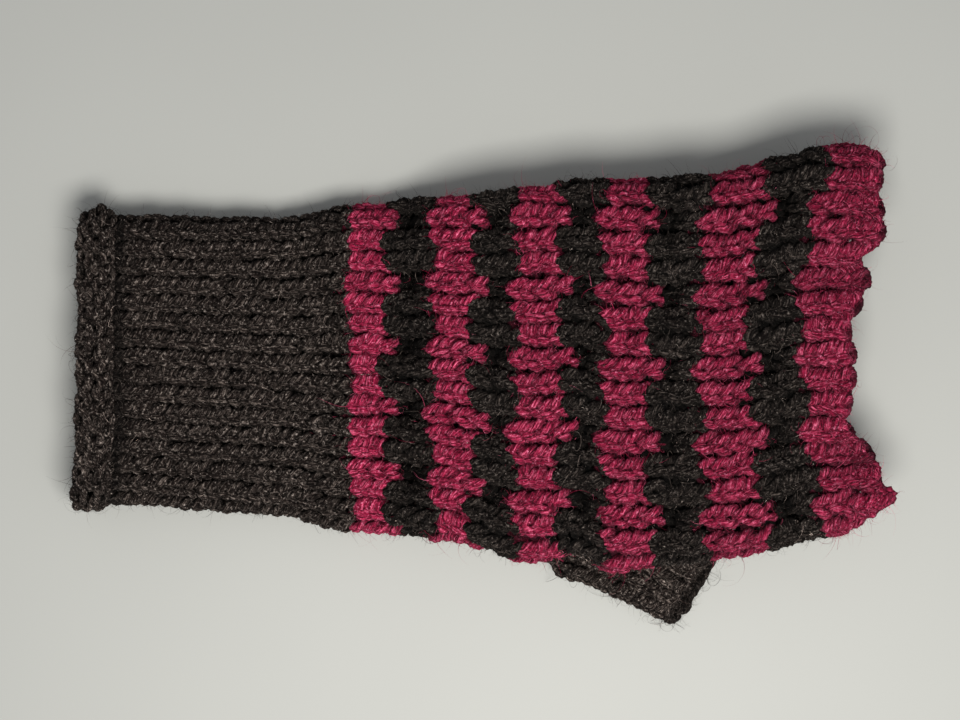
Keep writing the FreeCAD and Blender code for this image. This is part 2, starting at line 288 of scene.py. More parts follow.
def ring_outline(node, high_end):
    """Place along X, fold to fold range in Y, and range in Z, of a ring's outline at one of its ends."""
    points = cad_points(node)
    place = points[:, 0].max() if high_end else points[:, 0].min()
    ring = points_at(points, place, within=0.05)
    low, high = ring.min(0), ring.max(0)
    return [place, low[1], high[1], low[2], high[2]]


def read_outlines():
    """The outlines where each ring starts, from the brim to the fingers, and where the last one ends."""
    rows = [ring_outline(node, high_end=False) for node in ["cuff_tube", "cuff_wrist_rows"] + BANDS]
    rows += [ring_outline("finger_cast_off_edge", high_end) for high_end in (False, True)]
    table = np.array(rows)
    table[0, 3] += BRIM_LIFT
    table[0, 4] -= BRIM_LIFT / 3
    return table


OUTLINES = read_outlines()


def track(x, places, values):
    """A smooth curve through the given values that never overshoots them."""
    steps = np.diff(places)
    slopes = np.diff(values) / steps
    same = slopes[:-1] * slopes[1:] > 0
    total = np.where(same, slopes[:-1] + slopes[1:], 1.0)
    inner = np.where(same, 2 * slopes[:-1] * slopes[1:] / total, 0.0)
    tangents = np.concatenate(([slopes[0]], inner, [slopes[-1]]))
    i = np.clip(np.searchsorted(places, x) - 1, 0, len(steps) - 1)
    f = (x - places[i]) / steps[i]
    past = np.where(f < 0, f * slopes[0], np.where(f > 1, (f - 1) * slopes[-1], 0)) * steps[i]
    f = np.clip(f, 0, 1)
    a, b = values[i], values[i + 1]
    ta, tb = tangents[i] * steps[i], tangents[i + 1] * steps[i]
    return a + (b - a) * smooth(f) + ta * f * (1 - f) ** 2 - tb * f * f * (1 - f) + past


def stadium(turn, middle_y, middle_z, half_flat, radius):
    """A point on the outline of a flattened tube, and its outward direction, both in Y and Z. Turn runs
    from 0 to 1 from the upper fold over the top to the lower fold and back underneath."""
    quarter = radius * math.pi / 2
    flat = 2 * half_flat
    s = (turn % 1.0) * (2 * flat + 4 * quarter)
    over = np.clip(s, 0, quarter) / radius
    top = np.clip(s - quarter, 0, flat)
    round_low = np.clip(s - quarter - flat, 0, 2 * quarter) / radius
    under = np.clip(s - 3 * quarter - flat, 0, flat)
    back = np.clip(s - 3 * quarter - 2 * flat, 0, quarter) / radius
    angle = over + round_low + back
    out_y, out_z = np.cos(angle), np.sin(angle)
    y = middle_y + half_flat - top + under + radius * out_y
    z = middle_z + radius * out_z
    return y, z, out_y, out_z


# How many waves slow unevenness is made of, and the height they are taken to reach together.
WANDER_WAVES = 5
WANDER_HEIGHT = 2.4


def wander(u, w, seed, around=4, along=0.11):
    """Slow, smooth unevenness between about -1 and 1, which joins up round the mitt."""
    pick = np.random.default_rng(seed)
    total = 0.0
    for _ in range(WANDER_WAVES):
        k = pick.integers(-around, around + 1)
        f = pick.uniform(-along, along)
        total = total + np.sin(TURN * (k * u / WALES + f * w + pick.uniform()))
    return total / WANDER_HEIGHT


# ---------------------------------------------------------------------------------------------------
# Surfaces: each gives points in mm for a wale coordinate u and a course coordinate w


def spike_distance(u):
    """How many wales away the nearest spike's middle is."""
    return np.abs((u - 0.5 + REPEAT / 2) % REPEAT - REPEAT / 2)


# Place across the hand, width and height of the upper layer's waves by the finger opening. They start
# at this place along the hand, rise with this power and are full this much further on.
DRAPE_WAVES = ((4.0, 9.0, 1.4), (26.0, 5.5, -4.6), (-17.5, 6.0, -4.4), (47.0, 3.5, -1.6))
DRAPE_START = 60
DRAPE_LENGTH = 40
DRAPE_POWER = 1.4
# Height, radians along X and across Y for each mm, and phase of the slow waves all over the upper layer.
SLOW_WAVES = ((0.5, 0.05, 0.11, 0.0), (0.4, 0.07, -0.05, 1.0))


def drape(x, y, out_z):
    """How far the upper layer rises or sinks from flat: it buckles most by the finger opening."""
    waves = sum(height * bump(y, place, width) for place, width, height in DRAPE_WAVES)
    slow = sum(
        height * np.sin(along * x + across * y + phase) for height, along, across, phase in SLOW_WAVES
    )
    return (ramp(x, DRAPE_START, DRAPE_LENGTH) ** DRAPE_POWER * waves + slow) * np.clip(out_z, 0, 1)


# Place along X, length and size of the places where the lower fold is drawn in, or out if negative.
LOW_FOLD_WAVES = (
    (24.5, 7.0, 4.6), (-46.0, 12.0, -2.0), (-66.0, 14.0, -1.4), (-20.0, 6.0, -0.9), (-6.0, 4.0, 1.0),
    (5.0, 5.0, -1.3),
)
# The lower fold is drawn in this much by the fingers, from this place on and in full this much further.
LOW_FOLD_DRAWN = 0.9
LOW_FOLD_START = 52
LOW_FOLD_LENGTH = 15


def low_fold_shift(x):
    """The lower fold is drawn in where the thumb leaves the hand, and bellies out before the wrist."""
    shift = LOW_FOLD_DRAWN * ramp(x, LOW_FOLD_START, LOW_FOLD_LENGTH)
    for place, length, inwards in LOW_FOLD_WAVES:
        shift = shift + inwards * bump(x, place, length)
    return shift


def turn_at(u, x):
    """How far round the mitt a wale has got, from 0 to 1: the wales drift slowly towards the thumb."""
    return (u + FIRST_WALE + WALE_DRIFT * np.clip(x - OUTLINES[3, 0], 0, None)) / WALES


def tube_point(u, x, lift=0.0, under=1.0):
    """A point on the middle of the mitt's fabric at a place along it, moved outwards by lift. Under is
    the share of the lift that the side on the table takes."""
    yl, yh, zl, zh = (track(x, OUTLINES[:, 0], OUTLINES[:, k]) for k in (1, 2, 3, 4))
    yl = yl + low_fold_shift(x)
    radius = (zh - zl) / 2 - FABRIC_HALF
    half_flat = (yh - yl) / 2 - (zh - zl) / 2 - FOLD_INSET
    y, z, out_y, out_z = stadium(turn_at(u, x), (yl + yh) / 2, (zl + zh) / 2, half_flat, radius)
    z = z + drape(x, y, out_z) + out_z * lift * np.where(out_z < 0, under, 1)
    z = z + UNDER_RISE * ramp(x, UNDER_RISE_START, UNDER_RISE_LENGTH) * np.clip(-out_z, 0, 1)
    return np.stack([x, y + out_y * lift * FOLD_GIVE, z], -1)


CUFF_START = OUTLINES[0, 0] - ROLL_ROOM
CUFF_END = OUTLINES[2, 0]
CUFF_COURSE = (CUFF_END - CUFF_START) / CUFF_COURSES
# The course that is darkest in the roll's painted shadow, over how many courses, and how deep in shadow
# it is.
ROLL_SHADOW = (2.1, 1.1, -2.5)


def cuff_surface(u, w):
    """The plain cuff. Below course 0 the fabric rolls outwards and back over itself."""
    curl = np.clip(-w, 0, None) * ROLL_HALF_TURNS * math.pi / BRIM_COURSES
    size = 1 + ROLL_UNEVENNESS * wander(u, 0 * w, 31, around=9)
    x = np.where(w >= 0, CUFF_START + w * CUFF_COURSE, CUFF_START - ROLL_ALONG * size * np.sin(curl))
    lift = ROLL_OUT * size * (1 - np.cos(curl))
    base = tube_point(u, np.maximum(x, CUFF_START), lift + CUFF_UNEVENNESS * wander(u, w, 3))
    base[..., 0] = x + np.interp(base[..., 1], *BRIM_TILT) * np.clip(1 - w / BRIM_TILT_COURSES, 0, 1)
    return base


def cuff_roll_shadow(_, w):
    """The cuff just behind the roll is darkened by a painted shadow of the roll."""
    course, width, depth = ROLL_SHADOW
    return depth * bump(w, course, width)


# Where the hand ends at the fingers: Y across the hand and X along it, on the upper layer.
FINGER_LINE = np.array([
    (-39.5, 85.5), (-34.0, 94.6), (-29.0, 103.6), (-26.5, 105.2), (-24.6, 101.4), (-20.0, 101.2),
    (-9.0, 92.0), (0.0, 93.9), (14.0, 92.7), (24.0, 97.6), (31.8, 96.6), (35.0, 101.0), (38.0, 101.5),
    (47.0, 100.7), (54.0, 101.0), (58.6, 106.0),
])
# How quickly, at the folds, the upper layer's end gives way to the lower layer's.
LAYER_CHANGE = 2.5


def finger_edge(u):
    """X of the end of the fabric round the finger opening."""
    x = np.full_like(u, OUTLINES[-2, 0])
    y = tube_point(u, x)[..., 1]
    above = np.clip(0.5 + LAYER_CHANGE * np.sin(TURN * turn_at(u, x)), 0, 1)
    over = np.interp(y, FINGER_LINE[:, 0], FINGER_LINE[:, 1])
    under = np.minimum(over, UNDER_EDGE) + UNDER_EDGE_UNEVENNESS * wander(u, 0 * u, 41, around=6)
    return over * above + under * (1 - above) - FINGER_INSET


def bow(u, place):
    """The bands bow away from the cuff by the folds, more and more towards the fingers."""
    x = np.full_like(u, place)
    y = tube_point(u, x)[..., 1]
    low, high = (track(x, OUTLINES[:, 0], OUTLINES[:, k]) for k in (1, 2))
    across = np.clip(np.abs(2 * (y - low) / (high - low) - 1), 0, 1)
    return BOW * ramp(place, BOW_START, BOW_LENGTH) ** BOW_ALONG * (across**BOW_ACROSS - BOW_MEAN)


def repeat_of(u):
    """Which repeat of the pattern a wale is in."""
    return (np.floor((u - 0.5) / REPEAT) % (WALES // REPEAT)).astype(int)


def band_edges(u):
    """X of the lines between bands at each wale coordinate, one row per line."""
    near = np.exp(-((spike_distance(u) / SPIKE_EDGE_WIDTH) ** SPIKE_POWER))
    sizes = SPIKE_SIZES[:, repeat_of(u)]
    lines = []
    for index in range(len(BANDS)):
        place = OUTLINES[2 + index, 0]
        unevenness = EDGE_UNEVENNESS * wander(u, EDGES_APART * index, 5, around=8)
        line = place + bow(u, place) + unevenness
        if index % 2:
            lines.append(line - SPIKE_BACK + SPIKE * sizes[index] * near)
        else:
            scallop = SCALLOP if index else WRIST_SCALLOP
            lines.append(line - scallop * np.cos(TURN * (u - SCALLOP_PLACE) / REPEAT))
    return np.stack(lines + [finger_edge(u)])


def band_of(w):
    """Which band a course is in, and how far through the band it is."""
    band = np.clip(np.searchsorted(BAND_STARTS, w, side="right") - 1, 0, len(BANDS) - 1)
    return band, (w - BAND_STARTS[band]) / (BAND_STARTS[band + 1] - BAND_STARTS[band])


def hand_lift(u, w):
    """The hand's relief: charcoal puffs up between the raspberry spikes and sinks in front of them."""
    band, part = band_of(w)
    away = spike_distance(u)
    near = bump(away, 0, SPIKE_WIDTH)
    inside = np.sin(math.pi * np.clip(part, 0, 1))
    puff = PUFF * PUFF_SIZES[band, repeat_of(u)] * (1 - near) * inside**PUFF_POWER
    course = w - BAND_STARTS[band]
    dimple = DIMPLE * bump(away, 0, DIMPLE_WIDTH) * bump(course, DIMPLE_COURSE, DIMPLE_COURSES)
    return np.where(band % 2 == 1, puff - dimple, (RIDGE * near - RIDGE_MEAN) * inside)


def hand_surface(u, w):
    """The striped hand. Courses are counted from the wrist, right through all the bands."""
    band, part = band_of(w)
    edges = band_edges(u)
    each = np.arange(len(u))
    start, end = edges[band, each], edges[band + 1, each]
    near = bump(spike_distance(u), 0, SPIKE_WIDTH)
    squeeze = SPIKE_SQUEEZE * near * np.sin(math.pi * np.clip(part, 0, 1)) * (band % 2)
    lift = hand_lift(u, w) + HAND_UNEVENNESS * wander(u, w, 7)
    return tube_point(u, start + (end - start) * (part - squeeze), lift, under=UNDER_LIFT)


def hand_hollow(u, w):
    """How far a place on the hand lies below its neighbours, which is where light does not reach; it sets
    the painted shade there.
    """
    x, y, z = hand_surface(u, w).T
    middle = (track(x, OUTLINES[:, 0], OUTLINES[:, 3]) + track(x, OUTLINES[:, 0], OUTLINES[:, 4])) / 2
    is_upper = (z > middle - UPPER_LAYER) * 1.0
    return hand_lift(u, w) + FOLD_SHADOW * np.minimum(drape(x, y, is_upper) + FOLD_DEPTH, 0)


PIVOT = np.array(frame["joints"][1]["pos_m"]) / MM
THUMB_ANGLE = math.radians(-32)
THUMB_DIRECTION = np.array([math.cos(THUMB_ANGLE), math.sin(THUMB_ANGLE)])
THUMB_ACROSS = np.array([-math.sin(THUMB_ANGLE), math.cos(THUMB_ANGLE)])
THUMB_WALES = 14
THUMB_COURSES = 15
# How far the thumb reaches from the pivot, from its first course to its end.
THUMB_START = 6.0
THUMB_LENGTH = 42.0
# Its width and depth at the root, how much they fall towards the end, and how much the root flares.
THUMB_WIDTH = 36.0
THUMB_NARROWING = 9.6
THUMB_FLARE = 5.0
THUMB_FLARE_LENGTH = 13
THUMB_DEPTH = 8.0
THUMB_THINNING = 1.6
THUMB_FABRIC_HALF = 1.15
# How far its end is rounded over this half width, and how far its upper layer stays behind the lower one.
THUMB_ROUND = 1.4
THUMB_HALF_END = 14
THUMB_LIP = 3.2
# The ring in the palm, the share of the courses that turn from it to the flat, how far they sag, and
# the lowest they come.
THUMB_HOLE = 9.6
HOLE_LEVEL = 10.4
THUMB_BEND = 0.2
THUMB_BELLY = 2.2
THUMB_LOWEST = 1.25


def about_pivot(ahead, side, z):
    """Points a given way from the pivot, along the thumb and across it."""
    x, y = (PIVOT[k] + ahead * THUMB_DIRECTION[k] + side * THUMB_ACROSS[k] for k in (0, 1))
    return np.stack([x, y, z], -1)


def thumb_surface(u, w):
    """The thumb: it starts as a ring in the hole of the palm and turns to lie flat under the hand."""
    turn = u / THUMB_WALES
    part = w / THUMB_COURSES
    reach = THUMB_START + (THUMB_LENGTH - THUMB_START) * part
    width = THUMB_WIDTH - THUMB_NARROWING * np.clip(reach / THUMB_LENGTH, 0, 1)
    width = width + THUMB_FLARE * bump(reach, 0, THUMB_FLARE_LENGTH)
    depth = THUMB_DEPTH - THUMB_THINNING * part
    radius = depth / 2 - THUMB_FABRIC_HALF
    across, up, _, out_up = stadium(turn, 0.0, depth / 2, width / 2 - depth / 2, radius)
    round_end = THUMB_ROUND * (1 - (across / THUMB_HALF_END) ** 2)
    reach = reach + (round_end - THUMB_LIP * np.clip(out_up, 0, 1)) * np.clip(part, 0, 1) ** 3
    flat = about_pivot(reach, across, up)
    # On the ring, the top of the tube joins the side towards the thumb's tip.
    angle = turn * TURN
    ahead, side = np.sin(angle) * THUMB_HOLE, np.cos(angle) * THUMB_HOLE
    ring = about_pivot(ahead, side, np.full_like(ahead, HOLE_LEVEL))
    turned = np.clip(part / THUMB_BEND, 0, 1)
    bend = smooth(turned)[..., None]
    belly = np.sin(math.pi * turned) * np.clip(-np.sin(angle), 0, 1)
    mixed = ring * (1 - bend) + flat * bend
    mixed[..., 2] = np.maximum(mixed[..., 2] - THUMB_BELLY * belly, THUMB_LOWEST)
    return mixed


# ---------------------------------------------------------------------------------------------------
# Yarn


def unit(vectors):
    """The same directions with a length of 1."""
    return vectors / (np.linalg.norm(vectors, axis=1, keepdims=True) + 1e-9)


def course_path(surface, row, wales, gauge, seed, kind, long_wales, skipped_wales, hollows, purl):
    """The middle line of one course, closed round the tube, with the fabric's outward direction, the
    yarn's thickness and how much light is painted on it, which is least in hollows and inside the fabric.
    Long wales have a loop stretched over the next courses, and skipped wales are passed behind.
    A chain is a course of loops that lie along the edge, one over the next."""
    pick = np.random.default_rng(seed)
    t = np.arange(wales * STITCH_SAMPLES) / STITCH_SAMPLES
    stitch = t.astype(int)
    phase = TURN * t
    is_long = np.isin(stitch, long_wales)
    is_skipped = np.isin(stitch, skipped_wales)
    window = np.sin(math.pi * (t - stitch)) ** 2
    shift = pick.normal(0, 1, (4, wales))[:, stitch] * window
    rough = CHAIN_UNEVENNESS if kind == "chain" else STITCH_UNEVENNESS
    shift_u, shift_w, shift_d = (size * moved for size, moved in zip(rough, shift))
    depth, reach, lean = gauge["depth"], gauge["reach"], gauge["lean"]
    if kind == "chain":
        u = t + lean * np.sin(phase) + shift_u
        w = row + reach * np.cos(phase) + shift_w
        d = depth * np.sin(phase * 2) + shift_d
    else:
        knitted = np.where(is_skipped, 0, 1)
        u = t + (lean * np.sin(2 * phase) + WALE_GROOVE * np.sin(phase)) * knitted + shift_u
        w = row + 0.5 - reach * np.where(is_skipped, 1.0, np.cos(phase)) + shift_w
        w = w + np.where(is_long, SPIKE_STRETCH * (1 - np.cos(phase)) / 2, 0)
        u = u - np.where(is_long, SPIKE_PINCH * (t - stitch - 0.5) * (1 - np.cos(phase)) / 2, 0)
        d = -depth * np.where(is_skipped, 1 + SKIPPED_DEPTH * window, np.cos(2 * phase)) + shift_d
    step = 0.02
    here = surface(u, w)
    along_u = surface(u + step, w) - surface(u - step, w)
    along_w = surface(u, w + step) - surface(u, w - step)
    out = unit(np.cross(along_u, along_w))
    waves = THICKNESS_WAVES * np.sin(phase * 3 / 7 + seed)
    thickness = gauge["yarn"] * (1 + THICKNESS_UNEVENNESS * shift[3] + waves)
    seen = -1 if purl else 1
    # Painted shade: yarn that lies deeper in the fabric is darkened in its colour.
    light = 1 - gauge["contrast"] * (1 - np.clip(seen * d / depth, -1, 1)) / 2
    if kind == "knit" and not purl:
        # Painted shade in the groove between wales.
        light = light * (1 - WALE_SHADE * (1 + np.cos(phase)) / 2)
    # Painted shade: hollows, folds and the roll's shadow darken the yarn's colour.
    if hollows:
        light = light * np.clip(1 + hollows(u, w) / DARK_HOLLOW, LEAST_LIGHT, 1)
    return here + out * d[:, None], out * seen, thickness, light


def fresh_mesh(name, points, quads, caps, fibres, lights):
    """A smooth mesh in metres from points in mm, quads, end caps, each point's place in its yarn and how
    much light gets to it."""
    mesh = bpy.data.meshes.new(name)
    mesh.vertices.add(len(points))
    mesh.vertices.foreach_set("co", (points * MM).astype(np.float32).ravel())
    mesh.loops.add(quads.size + caps.size)
    corners = np.concatenate([quads.ravel(), caps.ravel()])
    mesh.loops.foreach_set("vertex_index", corners.astype(np.int32))
    sizes = np.concatenate([np.full(len(quads), 4), np.full(len(caps), caps.shape[1])])
    mesh.polygons.add(len(sizes))
    starts = np.concatenate(([0], np.cumsum(sizes)[:-1]))
    mesh.polygons.foreach_set("loop_start", starts.astype(np.int32))
    mesh.update(calc_edges=True)
    mesh.validate()
    mesh.polygons.foreach_set("use_smooth", np.ones(len(mesh.polygons), bool))
    fibre = mesh.attributes.new("fibre", "FLOAT_VECTOR", "POINT")
    fibre.data.foreach_set("vector", fibres.astype(np.float32).ravel())
    light = mesh.attributes.new("light", "FLOAT", "POINT")
    light.data.foreach_set("value", lights.astype(np.float32))
    return mesh


def tube_faces(rings, sides, closed):
    """Quads between neighbouring rings of points, and the first and last ring's corners."""
    j = np.arange(sides)
    here = np.arange(rings if closed else rings - 1)[:, None] * sides
    there = (here + sides) % (rings * sides)
    after = (j + 1) % sides
    quads = np.stack([here + j, here + after, there + after, there + j], -1).reshape(-1, 4)
    return quads, np.stack([j[::-1], j + (rings - 1) * sides])


class Skein:
    """Collects swept yarns into one mesh, with each point's place in its yarn for the material."""

    def __init__(self, inner=INNER_LIGHT):
        self.inner = inner
        self.points, self.quads, self.caps = [], [], []
        self.fibres, self.lights, self.normals, self.outs, self.count = [], [], [], [], 0

    def add(self, path, out, thickness, light, closed, tone):
        """Sweeps a twisted yarn along a path. Out is the fabric's outward direction at each point."""
        ahead = np.roll(path, -1, 0) - np.roll(path, 1, 0)
        if not closed:
            ahead[0], ahead[-1] = path[1] - path[0], path[-1] - path[-2]
        ahead = unit(ahead)
        side = unit(np.cross(ahead, out))
        lift = np.cross(side, ahead)
        steps = np.linalg.norm(np.diff(path, axis=0), axis=1)
        along = np.concatenate(([0], np.cumsum(steps)))
        whole = along[-1] + np.linalg.norm(path[0] - path[-1])
        twists = max(1, round(whole / PLY_PITCH)) / whole if closed else 1 / PLY_PITCH
        ply = np.arange(YARN_SIDES) * TURN / YARN_SIDES
        waves = max(1, round(whole / SLACK_LENGTH))
        slack = SLACK * np.sin(TURN * waves * along / whole + TONE_SLACK * tone)
        angle = ply[None] + (TURN * twists * along + slack)[:, None]
        in_groove = np.arange(YARN_SIDES) % PLY_SIDES == 0
        reach = thickness[:, None] * (1 - PLY_GROOVE * in_groove)[None]
        across, above = np.cos(angle)[..., None], np.sin(angle)[..., None]
        normal = side[:, None] * across + lift[:, None] * above
        ring = path[:, None] + (normal - FLATNESS * lift[:, None] * above) * reach[..., None]
        # Nothing goes below the table: what would come within 1 mm of it is squeezed.
        ring[..., 2] = np.where(ring[..., 2] < 1, np.exp(ring[..., 2] - 1), ring[..., 2])
        quads, caps = tube_faces(len(path), YARN_SIDES, closed)
        self.quads.append(quads + self.count)
        if not closed:
            self.caps.append(caps + self.count)
        shape = (len(path), YARN_SIDES)
        place = np.broadcast_to((along / STREAK_LENGTH)[:, None], shape) + tone * TONE_STREAKS
        fibre = [np.broadcast_to(np.cos(ply), shape), np.broadcast_to(np.sin(ply), shape), place]
        self.fibres.append(np.stack(fibre, -1).reshape(-1, 3))
        # Painted shade: the side of the yarn turned into the fabric is darkened in its colour.
        outwards = (normal * out[:, None]).sum(-1)
        facing = np.clip(SIDE_LIGHT + FACING_LIGHT * outwards, self.inner, 1) ** FACING_POWER
        # Painted shade: the grooves between plies are darkened in the yarn's colour.
        grooves = np.where(in_groove, GROOVE_SHADE, 1)
        self.lights.append((facing * grooves * light[:, None]).ravel())
        self.points.append(ring.reshape(-1, 3))
        self.normals.append(normal.reshape(-1, 3))
        self.outs.append(np.repeat(out, YARN_SIDES, 0))
        self.count += len(path) * YARN_SIDES

    def mesh(self, name):
        caps = np.concatenate(self.caps) if self.caps else np.zeros((0, YARN_SIDES), int)
        parts = [np.concatenate(part) for part in (self.points, self.quads, self.fibres, self.lights)]
        return fresh_mesh(name, parts[0], parts[1], caps, parts[2], parts[3])

    def fibres_out(self, name, kind, count, mean_length, glints, seed):
        """Fine curved fibres that stand out of the yarn, thickest at the root, some of them brighter."""
        pick = np.random.default_rng(seed)
        rings, sides = kind["rings"], FIBRE_SIDES
        points, normals, outs = (np.concatenate(part) for part in (self.points, self.normals, self.outs))
        chosen = pick.choice(np.flatnonzero((normals * outs).sum(1) > FIBRE_FACING), count)
        length = pick.lognormal(math.log(mean_length), FIBRE_SPREAD, count)
        length = np.clip(length, SHORTEST_FIBRE, kind["longest"])[:, None, None]
        start = unit(FIBRE_STRAIGHT * normals[chosen] + pick.normal(0, FIBRE_RANDOM, (count, 3)))
        side = unit(np.cross(start, pick.normal(0, 1, (count, 3))))
        other = np.cross(start, side)
        s = np.linspace(0, 1, rings)[None, :, None]
        curl = pick.uniform(*kind["curl"], count)[:, None, None]
        ahead, aside = np.sin(curl * s) / curl, (1 - np.cos(curl * s)) / curl
        line = start[:, None] * ahead + side[:, None] * aside + FIBRE_TWIST * other[:, None] * s * s
        line = line * length
        line[..., 2] *= kind["height"]
        line = points[chosen][:, None] + line
        # A fibre that would go below the table is turned back up.
        line[..., 2] = np.abs(line[..., 2] - FIBRE_LOWEST) + FIBRE_LOWEST
        turn = (np.arange(sides) * TURN / sides)[None, :, None]
        across = side[:, None] * np.cos(turn) + other[:, None] * np.sin(turn)
        taper = (kind["radius"] * (1 - FIBRE_TAPER * s))[..., None]
        surface = line[:, :, None] + across[:, None] * taper
        quads, caps = tube_faces(rings, sides, closed=False)
        first = (np.arange(count) * rings * sides)[:, None, None]
        place = pick.normal(0, FIBRE_STREAKS, (count, 3))
        # Painted light: each fibre gets a random share of light, and the bright ones get many times more.
        glow = pick.uniform(*FIBRE_LIGHT, count)
        brighter, share = glints
        glow[pick.uniform(size=count) < share] *= brighter
        return fresh_mesh(
            name, surface.reshape(-1, 3), (quads + first).reshape(-1, 4),
            (caps + first).reshape(-1, sides), np.repeat(place, rings * sides, 0),
            np.repeat(glow, rings * sides),
        )


def show(name, mesh, material, nodes):
    """Adds a mesh as a piece that takes the place of the given CAD pieces."""
    piece = bpy.data.objects.new(name, mesh)
    bpy.context.scene.collection.objects.link(piece)
    mesh.materials.append(material)
    if nodes:
        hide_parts(*nodes)
    return piece


# ---------------------------------------------------------------------------------------------------
# Materials


def link(tree, source, target):
    tree.links.new(source, target)


def wool(name, shades, flecks, fleck_share, grain, sheen):
    """Heathered wool: colour streaks that follow the twist of the yarn, pale flecks, dark grains, painted
    light and shade from each point's light attribute, and a soft sheen. Shades are the dark, middle and
    light of the streaks, and grain is how dark the grains are, from 0 for black to 1 for none."""
    material = bpy.data.materials.new(name)
    material.use_nodes = True
    tree = material.node_tree
    shader = tree.nodes["Principled BSDF"]
    fibre = tree.nodes.new("ShaderNodeAttribute")
    fibre.attribute_name = "fibre"
    place = tree.nodes.new("ShaderNodeTexCoord")

    def noise(source, scale, detail, stretch, roughness):
        mapping = tree.nodes.new("ShaderNodeMapping")
        mapping.inputs["Scale"].default_value = stretch
        link(tree, source, mapping.inputs["Vector"])
        texture = tree.nodes.new("ShaderNodeTexNoise")
        texture.inputs["Scale"].default_value = scale
        texture.inputs["Detail"].default_value = detail
        texture.inputs["Roughness"].default_value = roughness
        link(tree, mapping.outputs["Vector"], texture.inputs["Vector"])
        return texture

    streaks = noise(fibre.outputs["Vector"], scale=3.6, detail=4, stretch=(1, 1, 0.5), roughness=0.7)
    tones = tree.nodes.new("ShaderNodeValToRGB")
    stops = tones.color_ramp.elements
    dark_at, middle_at, light_at = 0.4, 0.53, 0.66
    stops[0].position, stops[0].color = dark_at, (*shades[0], 1)
    stops[1].position, stops[1].color = light_at, (*shades[2], 1)
    middle = stops.new(middle_at)
    middle.color = (*shades[1], 1)
    link(tree, streaks.outputs["Fac"], tones.inputs["Fac"])
    spots = noise(place.outputs["Object"], scale=1500, detail=3, stretch=(1, 1, 1), roughness=0.7)
    spot_ramp = tree.nodes.new("ShaderNodeValToRGB")
    no_fleck, full_fleck = 0.62, 0.74
    spot_ramp.color_ramp.elements[0].position = no_fleck - fleck_share
    spot_ramp.color_ramp.elements[1].position = full_fleck - fleck_share
    link(tree, spots.outputs["Fac"], spot_ramp.inputs["Fac"])
    mix = tree.nodes.new("ShaderNodeMix")
    mix.data_type = "RGBA"
    link(tree, spot_ramp.outputs["Color"], mix.inputs["Factor"])
    link(tree, tones.outputs["Color"], mix.inputs["A"])
    mix.inputs["B"].default_value = (*flecks, 1)
    # Painted light and shade: the base colour is scaled by each point's light attribute.
    painted_light = tree.nodes.new("ShaderNodeAttribute")
    painted_light.attribute_name = "light"
    grains = tree.nodes.new("ShaderNodeMapRange")
    grains.inputs["From Min"].default_value = 0.38
    grains.inputs["From Max"].default_value = 0.52
    grains.inputs["To Min"].default_value = grain
    link(tree, spots.outputs["Fac"], grains.inputs["Value"])
    both = tree.nodes.new("ShaderNodeMath")
    both.operation = "MULTIPLY"
    link(tree, painted_light.outputs["Fac"], both.inputs[0])
    link(tree, grains.outputs["Result"], both.inputs[1])
    shaded = tree.nodes.new("ShaderNodeVectorMath")
    shaded.operation = "SCALE"
    link(tree, mix.outputs["Result"], shaded.inputs[0])
    link(tree, both.outputs["Value"], shaded.inputs["Scale"])
    link(tree, shaded.outputs["Vector"], shader.inputs["Base Color"])
    relief = tree.nodes.new("ShaderNodeBump")
    relief.inputs["Strength"].default_value = 1.0
    relief.inputs["Distance"].default_value = 0.0006
    link(tree, streaks.outputs["Fac"], relief.inputs["Height"])
    link(tree, relief.outputs["Normal"], shader.inputs["Normal"])
    shader.inputs["Roughness"].default_value = 0.9
    shader.inputs["Specular IOR Level"].default_value = 0.08
    shader.inputs["Sheen Weight"].default_value = sheen
    shader.inputs["Sheen Roughness"].default_value = 0.45
    shader.inputs["Sheen Tint"].default_value = (*flecks, 1)
    return material


CHARCOAL = wool(
    "charcoal_wool",
    shades=((0.0032, 0.0012, 0.0009), (0.0225, 0.0152, 0.0132), (0.26, 0.207, 0.18)),
    flecks=(0.44, 0.37, 0.33),
    fleck_share=0.045,
    grain=0.4,
    sheen=0.03,
)
RASPBERRY = wool(
    "raspberry_wool",
    shades=((0.06, 0.0015, 0.008), (0.44, 0.015, 0.070), (0.9, 0.175, 0.31)),
    flecks=(0.95, 0.28, 0.45),
    fleck_share=0.03,
    grain=0.5,
    sheen=0.06,
)


# ---------------------------------------------------------------------------------------------------
# The pieces


def knit(
    surface, rows, wales, gauge, seed, kind="knit", hole=False, specials=None, hollows=None, shade=1.0,
    purl=False, inner=INNER_LIGHT,
):
    """Knits courses over a surface and returns the skein they make. Purl is for the wrong side out, and
    inner is how much light gets to the side of the yarn that is turned away."""
    skein = Skein(inner)
    for number, row in enumerate(rows):
        long_wales, skipped_wales = (specials or {}).get(row, ((), ()))
        path, out, thickness, light = course_path(
            surface, row, wales, gauge, seed + number, kind, long_wales, skipped_wales, hollows, purl
        )
        tone = float(rng.uniform())
        for part, closed in split_at_hole(path, hole):
            skein.add(path[part], out[part], thickness[part], shade * light[part], closed, tone)
    return skein


# Courses stop this far round the thumb's ring, on the layer below this height above the pivot, and a
# length of yarn with no more than this many samples is left out.
HOLE_ROOM = 0.8
HOLE_CEILING = 10
SHORTEST_RUN = 6


